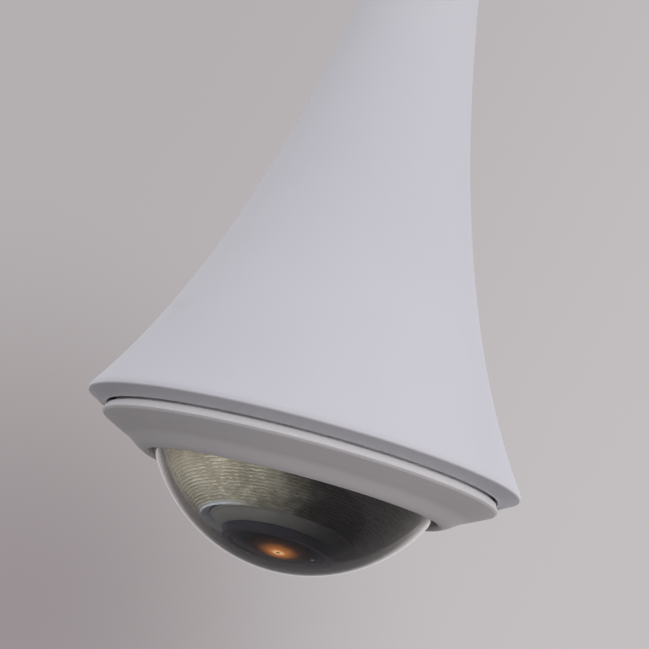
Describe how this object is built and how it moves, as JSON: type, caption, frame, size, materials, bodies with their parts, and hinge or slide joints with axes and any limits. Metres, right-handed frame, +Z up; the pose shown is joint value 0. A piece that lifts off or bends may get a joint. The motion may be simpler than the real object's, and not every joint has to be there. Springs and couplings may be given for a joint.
{
  "type": "dome cctv camera",
  "caption": "Dome security camera in a trumpet-shaped pendant shroud, with a clear bubble, a trim ring and a ribbed eye that pans and tilts around a wide lens.",
  "frame": {"origin": "centre of the pipe thread's mouth, at the top of the shroud; the camera hangs below it", "axes": "+Z up along the pipe and the shroud's axis, -Y towards the side the lens is aimed at, +X to the right seen from that side"},
  "size_m": [0.1634, 0.1634, 0.241],
  "materials": {
    "shroud_white": "satin",
    "trim_white": "satin",
    "base_white": "matte",
    "cast_grey": "as cast",
    "zinc_steel": "zinc plated",
    "screw_steel": "turned",
    "spring_steel": "bright",
    "seal_rubber": "matte",
    "circuit_board": "solder mask",
    "black_moulding": "matte",
    "gold_contacts": "bright",
    "bright_shell": "bright",
    "button_white": "gloss",
    "led_clear": "clear",
    "thermal_pink": "matte",
    "eye_grey": "matte",
    "collar_grey": "satin",
    "barrel_black": "black anodised",
    "coated_glass": "coated",
    "lens_glass": "polished",
    "filter_glass": "polished",
    "sensor_chip": "gloss",
    "dome_clear": "clear, polished"
  },
  "bodies": {
    "pendant": {"pendant_shroud": "shroud_white", "pipe_hub": "cast_grey", "hub_screws": "screw_steel", "pipe_lock_screw": "screw_steel", "mounting_plate": "zinc_steel", "plate_screws": "screw_steel"},
    "camera": {"camera_base": "base_white", "back_cover": "cast_grey", "back_cover_screws": "screw_steel", "bayonet_studs": "zinc_steel", "cover_springs": "spring_steel", "spring_screws": "screw_steel", "cover_seal": "seal_rubber", "main_board": "circuit_board", "board_standoffs": "gold_contacts", "board_screws": "screw_steel", "rj45_jack": "black_moulding", "jack_contacts": "gold_contacts", "card_socket": "bright_shell", "reset_switch": "black_moulding", "status_led": "led_clear", "light_pipe": "led_clear", "processor": "black_moulding", "thermal_pad": "thermal_pink", "capacitors": "bright_shell", "power_transformer": "black_moulding", "flex_connector": "black_moulding"},
    "reset_button": {"reset_button": "button_white"},
    "memory_card": {"memory_card": "black_moulding"},
    "pan_carriage": {"pan_yoke": "black_moulding", "trunnion_pins": "zinc_steel", "pan_circlip": "spring_steel", "pan_washer": "spring_steel"},
    "eye": {"eye_shell": "eye_grey", "eye_frame": "black_moulding", "eye_screws": "screw_steel"},
    "lens": {"lens_collar": "collar_grey", "lens_barrel": "barrel_black", "front_element": "coated_glass", "front_ring": "barrel_black", "second_element": "lens_glass", "element_spacer": "barrel_black", "iris_ring": "barrel_black", "rear_element": "lens_glass", "lens_mount": "black_moulding", "filter_housing": "black_moulding", "filter_coil": "black_moulding", "sensor_board": "circuit_board", "sensor_standoffs": "gold_contacts", "sensor_screws": "screw_steel", "image_sensor": "sensor_chip"},
    "filter_carrier": {"filter_frame": "black_moulding", "ir_cut_pane": "filter_glass", "clear_pane": "lens_glass"},
    "cover": {"bezel_skirt": "trim_white", "dome_bubble": "dome_clear", "dome_gasket": "seal_rubber", "dome_retainer": "black_moulding", "retainer_screws": "screw_steel"}
  },
  "joints": [
    {"name": "camera_twist", "type": "hinge", "parent": "pendant", "child": "camera", "pos_m": [0, 0, -0.144], "axis": [0, 0, 1], "range_deg": [0, 18]},
    {"name": "cover_release", "type": "slide", "parent": "camera", "child": "cover", "axis": [0, 0, -1], "range_m": [0, 0.075]},
    {"name": "pan", "type": "hinge", "parent": "camera", "child": "pan_carriage", "pos_m": [0, 0, -0.1816], "axis": [0, 0, 1], "range_deg": [-175, 175]},
    {"name": "tilt", "type": "hinge", "parent": "pan_carriage", "child": "eye", "pos_m": [0, 0, -0.1816], "axis": [-1, 0, 0], "range_deg": [-36, 14]},
    {"name": "lens_roll", "type": "hinge", "parent": "eye", "child": "lens", "pos_m": [0, 0, -0.1816], "axis": [0, -0.1908, -0.9816], "range_deg": [-90, 90]},
    {"name": "filter_shift", "type": "slide", "parent": "lens", "child": "filter_carrier", "axis": [1, 0, 0], "range_m": [0, 0.009]},
    {"name": "reset_press", "type": "slide", "parent": "camera", "child": "reset_button", "axis": [0, 0, -1], "range_m": [0, 0.0005], "stiffness_N_per_m": 300},
    {"name": "card_slide", "type": "slide", "parent": "camera", "child": "memory_card", "axis": [0, 0, 1], "range_m": [0, 0.014]}
  ]
}
